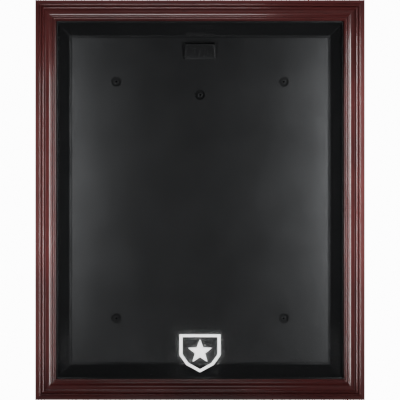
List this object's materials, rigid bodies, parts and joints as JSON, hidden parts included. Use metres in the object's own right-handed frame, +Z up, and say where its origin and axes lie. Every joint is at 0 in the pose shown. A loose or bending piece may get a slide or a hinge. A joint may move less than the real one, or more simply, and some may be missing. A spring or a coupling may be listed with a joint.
{
  "type": "jersey display frame",
  "caption": "Wall-hung shadow-box case for a jersey: a mahogany-finish glazed door, hinged on the left, closes over a black moulded tray with screw pockets and a hanger hook.",
  "frame": {"origin": "centre of the back plane, where the tray's rim and screw bosses meet the wall, which is the middle of the four-hole wall pattern", "axes": "+Z up the wall, +X to the right of someone facing the case, and the door faces -Y"},
  "size_m": [0.87, 0.076, 1.056],
  "materials": {
    "mahogany": "dark mahogany stain under clear lacquer",
    "acrylic": "clear polished acrylic sheet",
    "emblem_ink": "opaque white screen print",
    "black_tray": "black moulded plastic, pebble-grained floor, satin walls",
    "black_plastic": "plain black moulded plastic",
    "batten_wood": "sawn and sanded softwood",
    "brass_plate": "thin brass-plated steel",
    "zinc_steel": "bright zinc plated",
    "black_screw": "black oxide",
    "magnet": "sintered ferrite"
  },
  "bodies": {
    "tray": {"backing_tray": "black_tray", "hinge_batten": "batten_wood", "batten_screws": "black_screw", "hinge_1_tray_leaf": "brass_plate", "hinge_2_tray_leaf": "brass_plate", "hinge_3_tray_leaf": "brass_plate", "hinge_4_tray_leaf": "brass_plate", "hinge_1_pin": "brass_plate", "hinge_2_pin": "brass_plate", "hinge_3_pin": "brass_plate", "hinge_4_pin": "brass_plate", "tray_leaf_screws": "brass_plate", "upper_catch_housing": "black_plastic", "lower_catch_housing": "black_plastic", "upper_catch_magnet": "magnet", "lower_catch_magnet": "magnet", "catch_screws": "zinc_steel"},
    "door": {"top_rail": "mahogany", "bottom_rail": "mahogany", "left_stile": "mahogany", "right_stile": "mahogany", "corner_v_nails": "zinc_steel", "acrylic_window": "acrylic", "window_emblem": "emblem_ink", "glazing_bead_top": "black_plastic", "glazing_bead_bottom": "black_plastic", "glazing_bead_left": "black_plastic", "glazing_bead_right": "black_plastic", "glazing_bead_pins": "zinc_steel", "hinge_1_door_leaf": "brass_plate", "hinge_2_door_leaf": "brass_plate", "hinge_3_door_leaf": "brass_plate", "hinge_4_door_leaf": "brass_plate", "door_leaf_screws": "brass_plate", "upper_strike_plate": "zinc_steel", "lower_strike_plate": "zinc_steel", "strike_plate_screws": "zinc_steel"}
  },
  "joints": [
    {"name": "door_hinge", "type": "hinge", "parent": "tray", "child": "door", "pos_m": [-0.4315, -0.05025, 0], "axis": [0, 0, -1], "range_deg": [0, 115]}
  ]
}
